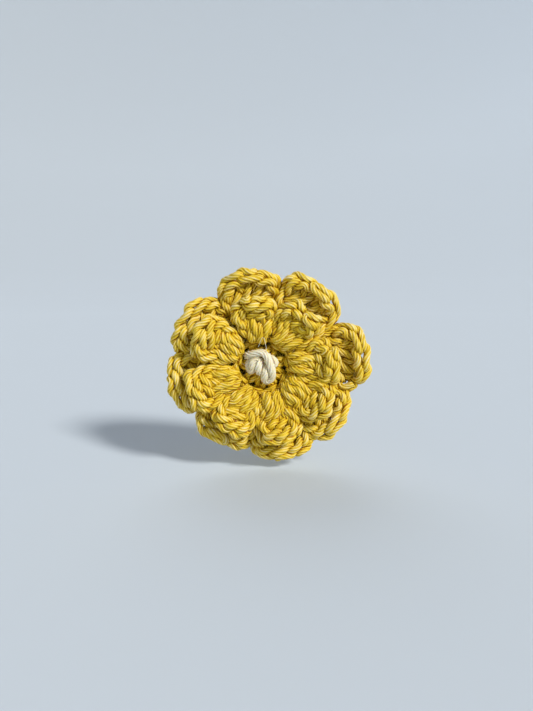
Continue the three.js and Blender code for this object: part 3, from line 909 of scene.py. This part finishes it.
def felt_disc():
    """A disc cut by hand from felt, dimpled where the stitches pull, its edge a little rough."""
    rng = np.random.default_rng(5)
    around, half = 240, (FELT_FRONT - FELT_BACK) / 2
    middle = -(FELT_FRONT + FELT_BACK) / 2
    angles = 2 * math.pi * np.arange(around) / around
    cut = np.zeros(around)
    for waves in range(2, 26):
        cut += rng.normal(0, 0.22 / waves) * np.cos(waves * angles + rng.uniform(0, 6.3))
    rows = [(r, half) for r in np.linspace(0.04, 0.93, 20)]
    rows += [(0.965, 0.94 * half), (0.985, 0.72 * half), (0.995, 0.35 * half), (1.0, 0.0)]
    rows += [(r, -h) for r, h in reversed(rows[:-1])]
    verts = []
    for share, height in rows:
        r = share * (FELT_RADIUS - 0.15 + cut * share**3)
        grain = rng.normal(0, 0.022, around)
        pull = np.zeros(around)
        for turn in STITCH_ANGLES:
            off = r * np.sin(angles - math.radians(turn))
            inside = np.cos(angles - math.radians(turn)) > 0
            along = np.clip(np.minimum(r - STITCH_FROM + 0.8, 1.0), 0, 1)
            pull = np.maximum(pull, np.exp(-((off / 0.55) ** 2)) * inside * along)
        lift = height * (1 - 0.28 * pull * (height > 0)) + grain
        for a, x, y in zip(angles, r, lift):
            verts.append((x * math.sin(a), middle + y, x * math.cos(a)))
    faces = grid_faces(len(rows), around)
    for ring, y, flip in ((0, middle + half, True), (len(rows) - 1, middle - half, False)):
        centre = len(verts)
        verts.append((0, y, 0))
        for j in range(around):
            j2 = (j + 1) % around
            a, b = ring * around + j, ring * around + j2
            faces.append((b, a, centre) if flip else (a, b, centre))
    piece = mesh_piece("felt_disc_cloth", verts, faces, FELT, FLOWER, "felt", "felt_disc")


def felt_stitches():
    """Whip stitches from the felt's back over its edge into the yarn."""
    rng = np.random.default_rng(8)
    for i, turn in enumerate(STITCH_ANGLES):
        top = -(FELT_BACK - 0.2)
        skew = rng.normal(0, 0.25)
        route = [
            (STITCH_FROM + 0.1, top - 0.6, 0.0), (STITCH_FROM, top - 0.1, 0.0),
            (STITCH_FROM + 0.5, top, 0.15 * skew), (13.6, top - 0.08, 0.5 * skew),
            (STITCH_TO, top + 0.02, skew), (15.75, top - 0.3, 1.1 * skew),
            (15.9, top - 0.95, 1.2 * skew), (15.6, top - 1.6, 1.2 * skew), (14.9, top - 2.1, 1.2 * skew),
        ]
        a = math.radians(turn)
        across, along = np.array([math.cos(a), -math.sin(a)]), np.array([math.sin(a), math.cos(a)])
        path = []
        for r, y, t in route:
            x, z = r * along + t * across
            path.append((x, y, z))
        piece = yarn_mesh(
            f"felt_stitch_{i + 1}_thread", smooth_curve(path, 0.12), 0.25,
            plies=3, lay=1.6, step=0.11, seed=200 + i,
        )
        finish_piece(piece, THREAD, FLOWER, "sewing_thread", f"felt_stitch_{i + 1}")


def glue_bead():
    """Hot glue squeezed out round the clip's plate."""
    rng = np.random.default_rng(21)
    low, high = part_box("glue_pad")
    narrow, wide = 3.5, 4.7
    x0, x1 = low[0] / MM + narrow, high[0] / MM - wide
    turns = math.pi / 2 + math.pi * np.arange(48) / 47
    along = np.arange(1, 40) / 40
    outline = [(x0 + narrow * math.cos(a), narrow * math.sin(a)) for a in turns]
    outline += [(x0 + (x1 - x0) * t, -(narrow + (wide - narrow) * t)) for t in along]
    outline += [(x1 + wide * math.cos(a), wide * math.sin(a)) for a in turns - math.pi]
    outline += [(x0 + (x1 - x0) * t, narrow + (wide - narrow) * t) for t in along[::-1]]
    edge = np.array(outline)
    count = len(edge)
    tangent = np.roll(edge, -1, axis=0) - np.roll(edge, 1, axis=0)
    tangent /= np.linalg.norm(tangent, axis=1)[:, None]
    outward = np.stack([tangent[:, 1], -tangent[:, 0]], axis=1)
    turn = 2 * math.pi * np.arange(count) / count
    swell = sum(rng.normal(0, 0.3 / w**0.7) * np.cos(w * turn + rng.uniform(0, 6.3)) for w in range(2, 16))
    swell = np.clip(swell, -0.45, 0.5)
    back, front = -low[1] / MM, -high[1] / MM
    rows = [(-0.5, back + 0.02, 0), (0.02, back + 0.02, 0.9), (0.1, back - 0.12, 1.0)]
    rows += [(-0.02, back - 0.28, 0.9), (-0.35, front + 0.02, 0.7), (-0.75, front - 0.03, 0.3)]
    rows.append((-1.15, front + 0.03, 0))
    verts = []
    for off, y, share in rows:
        ring = edge + outward * (off + swell * share)[:, None]
        verts += [(x, -y, z) for x, z in ring]
    faces = grid_faces(len(rows), count)
    faces.append(tuple(range(count - 1, -1, -1)))
    faces.append(tuple((len(rows) - 1) * count + j for j in range(count)))
    mesh_piece("glue_bead", verts, faces, GLUE, FLOWER, "glue", "glue_pad")


# ---- The clip --------------------------------------------------------------


def rounded_metal(node, name, body, width=0.11):
    """The CAD part with its stamped edges softened."""
    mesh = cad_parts[node].data.copy()
    mesh.name = name
    piece = new_object(name, mesh)
    bm = bmesh.new()
    bm.from_mesh(mesh)
    bmesh.ops.remove_doubles(bm, verts=bm.verts, dist=0.004 * MM)
    bmesh.ops.dissolve_limit(bm, angle_limit=math.radians(1.5), verts=bm.verts, edges=bm.edges)
    bmesh.ops.recalc_face_normals(bm, faces=bm.faces)
    bm.to_mesh(mesh)
    bm.free()
    bevel = piece.modifiers.new("edges", "BEVEL")
    bevel.width = width * MM
    bevel.segments = 3
    bevel.limit_method = "ANGLE"
    bevel.angle_limit = math.radians(32)
    bevel.use_clamp_overlap = True
    bpy.context.view_layer.update()
    mesh = bpy.data.meshes.new_from_object(piece.evaluated_get(bpy.context.evaluated_depsgraph_get()))
    piece.modifiers.clear()
    piece.data = mesh
    mesh.polygons.foreach_set("use_smooth", [True] * len(mesh.polygons))
    mesh.set_sharp_from_angle(angle=math.radians(28))
    mesh.materials.clear()
    finish_piece(piece, NICKEL, body, "nickel_steel", node)


HINGE = (9.0, 2.0)  # the pin's x and y
COIL, WIRE_RADIUS, TURNS, PITCH, LEG = 1.15, 0.3, 4, 0.72, 10.5  # the spring's, in millimetres
LEVER_SLOPE = math.atan2(11.4 - 6.0, 22.6 - 12.0)  # from the lever's rise and run


def torsion_spring():
    """Round wire: a leg on the plate, the coil round the pin and a leg under the lever."""
    start, end = -math.pi / 2, -math.pi / 2 - TURNS * 2 * math.pi - (math.pi - LEVER_SLOPE)
    bottom = -TURNS * PITCH / 2
    foot = (HINGE[0] + COIL * math.cos(start), HINGE[1] + COIL * math.sin(start), bottom)
    last = (HINGE[0] + COIL * math.cos(end), HINGE[1] + COIL * math.sin(end), -bottom)
    path = [(foot[0] + LEG * t, foot[1] - 0.4 * t, foot[2]) for t in np.linspace(1, 0.05, 20)]
    for t in np.linspace(0, 1, 36 * TURNS):
        a = start + (end - start) * t
        x, y = HINGE[0] + COIL * math.cos(a), HINGE[1] + COIL * math.sin(a)
        path.append((x, y, bottom + TURNS * PITCH * t))
    run, rise = math.cos(LEVER_SLOPE), math.sin(LEVER_SLOPE)
    path += [(last[0] + LEG * t * run, last[1] + LEG * t * rise, last[2]) for t in np.linspace(0.05, 1, 20)]
    piece = yarn_mesh(
        "torsion_spring_wire", smooth_curve(path, 0.1), WIRE_RADIUS,
        plies=1, groove=0, per_ply=16, step=0.1, lay=1e6, rough=0.0, seed=4,
    )
    x, y = HINGE[0] * MM, HINGE[1] * MM
    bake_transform(piece)
    finish_piece(piece, WIRE, None, "spring_steel", "torsion_spring")


felt_disc()
felt_stitches()
glue_bead()
rounded_metal("outer_jaw", "outer_jaw_plate", FLOWER)
rounded_metal("inner_jaw", "inner_jaw_plate", JAW)
rounded_metal("hinge_pin", "hinge_pin_rivet", FLOWER, 0.08)
torsion_spring()

# ---- Stage -----------------------------------------------------------------


def point_at(thing, place, target):
    thing.location = place
    direction = np.array(target) - np.array(place)
    thing.rotation_euler = Vector(direction).to_track_quat("-Z", "Y").to_euler()


PICTURE_HEIGHT, FOCAL_LENGTH = 711, 534  # in the same unit
AZIMUTH, ELEVATION, DISTANCE = math.radians(-2.5), math.radians(7.5), 0.148
LOOKS_AT = (0.0009, -0.008, 0.0032)
camera = new_object("camera", bpy.data.cameras.new("camera"))
bpy.context.scene.camera = camera
camera.data.sensor_fit = "VERTICAL"
camera.data.clip_start = 0.005
camera.data.angle = 2 * math.atan(PICTURE_HEIGHT / 2 / FOCAL_LENGTH)
place = (
    LOOKS_AT[0] + DISTANCE * math.sin(AZIMUTH) * math.cos(ELEVATION),
    LOOKS_AT[1] - DISTANCE * math.cos(AZIMUTH) * math.cos(ELEVATION),
    LOOKS_AT[2] + DISTANCE * math.sin(ELEVATION),
)
point_at(camera, place, LOOKS_AT)

WORLD_COLOR, WORLD_STRENGTH = (0.63, 0.63, 0.64, 1), 0.24
world = bpy.data.worlds.new("world")
bpy.context.scene.world = world
world.use_nodes = True
world.node_tree.nodes["Background"].inputs["Color"].default_value = WORLD_COLOR
world.node_tree.nodes["Background"].inputs["Strength"].default_value = WORLD_STRENGTH
bpy.context.scene.view_settings.view_transform = "Standard"


def sun_light(name, place, width, strength, color):
    """A soft light with parallel rays, so the floor is as bright far away as under the clip."""
    light = bpy.data.lights.new(name, "SUN")
    light.angle = math.radians(width)
    light.energy = strength
    light.color = color
    point_at(new_object(name, light), place, (0, 0, 0))


AMBIENT = 0.15  # light that the world gives to white paint that faces up
FLOOR_GLOW = 0.6  # and the floor to white paint that faces down
# Each sun: where it stands, its width in degrees, its strength and its colour.
SUNS = {
    "key": ((0.66, -0.70, 0.66), 12.0, 3.2, (1.0, 0.975, 0.92)),
    "fill": ((-0.8, -0.9, 0.35), 60.0, 0.15, (0.97, 0.98, 1.0)),
    "back": ((-0.2, 0.9, 0.8), 50.0, 0.9, (1.0, 0.98, 0.95)),
}
for name, spec in SUNS.items():
    sun_light(name, *spec)


BRIGHTEST = 0.93  # that paint can be


def bowl_floor(flat, bend, height, drop, color):
    """A round floor that curves up into a wall, painted so that it looks the same all over."""
    profile = [(0.0, 0.0)] + [(flat * i / 12, 0.0) for i in range(1, 13)]
    for i in range(1, 19):
        a = math.pi / 2 * i / 18
        profile.append((flat + bend * math.sin(a), bend * (1 - math.cos(a))))
    profile.append((profile[-1][0], height))
    around = 72
    verts = [(0, 0, drop)] + [
        (r * math.cos(2 * math.pi * j / around), r * math.sin(2 * math.pi * j / around), drop + z)
        for r, z in profile[1:]
        for j in range(around)
    ]
    faces = [(0, 1 + j, 1 + (j + 1) % around) for j in range(around)]
    faces += [(a, d, c, b) for a, b, c, d in grid_faces(len(profile) - 1, around, 1)]
    mesh = bpy.data.meshes.new("floor")
    mesh.from_pydata(verts, [], faces)
    mesh.polygons.foreach_set("use_smooth", [True] * len(mesh.polygons))
    mesh.update()
    paint = mesh.attributes.new("paint", "FLOAT_COLOR", "POINT")
    level = brightness(np.array([0.0, 0.0, 1.0]))
    for vertex, value in zip(mesh.vertices, paint.data):
        share = min(level / brightness(np.array(vertex.normal)), BRIGHTEST / max(color))
        value.color = [share * part for part in color] + [1]
    thing = new_object("floor", mesh)
    thing.visible_shadow = False
    return thing


def brightness(normal):
    """How bright the lights make white paint that faces along the normal."""
    total = AMBIENT * (1 + normal[2]) / 2 + FLOOR_GLOW * (1 - normal[2]) / 2
    for place, _, strength, _ in SUNS.values():
        toward = np.array(place) / np.linalg.norm(place)
        total += strength / math.pi * max(0.0, float(toward @ normal))
    return total


floor = bowl_floor(flat=1.0, bend=2.6, height=2.8, drop=-0.0295, color=(0.56, 0.62, 0.69))
paint = Nodes("pale_floor")
paint.shade(paint.attribute("paint")["Color"], Roughness=1.0, Specular_IOR_Level=0.0)
floor.data.materials.append(paint.material)
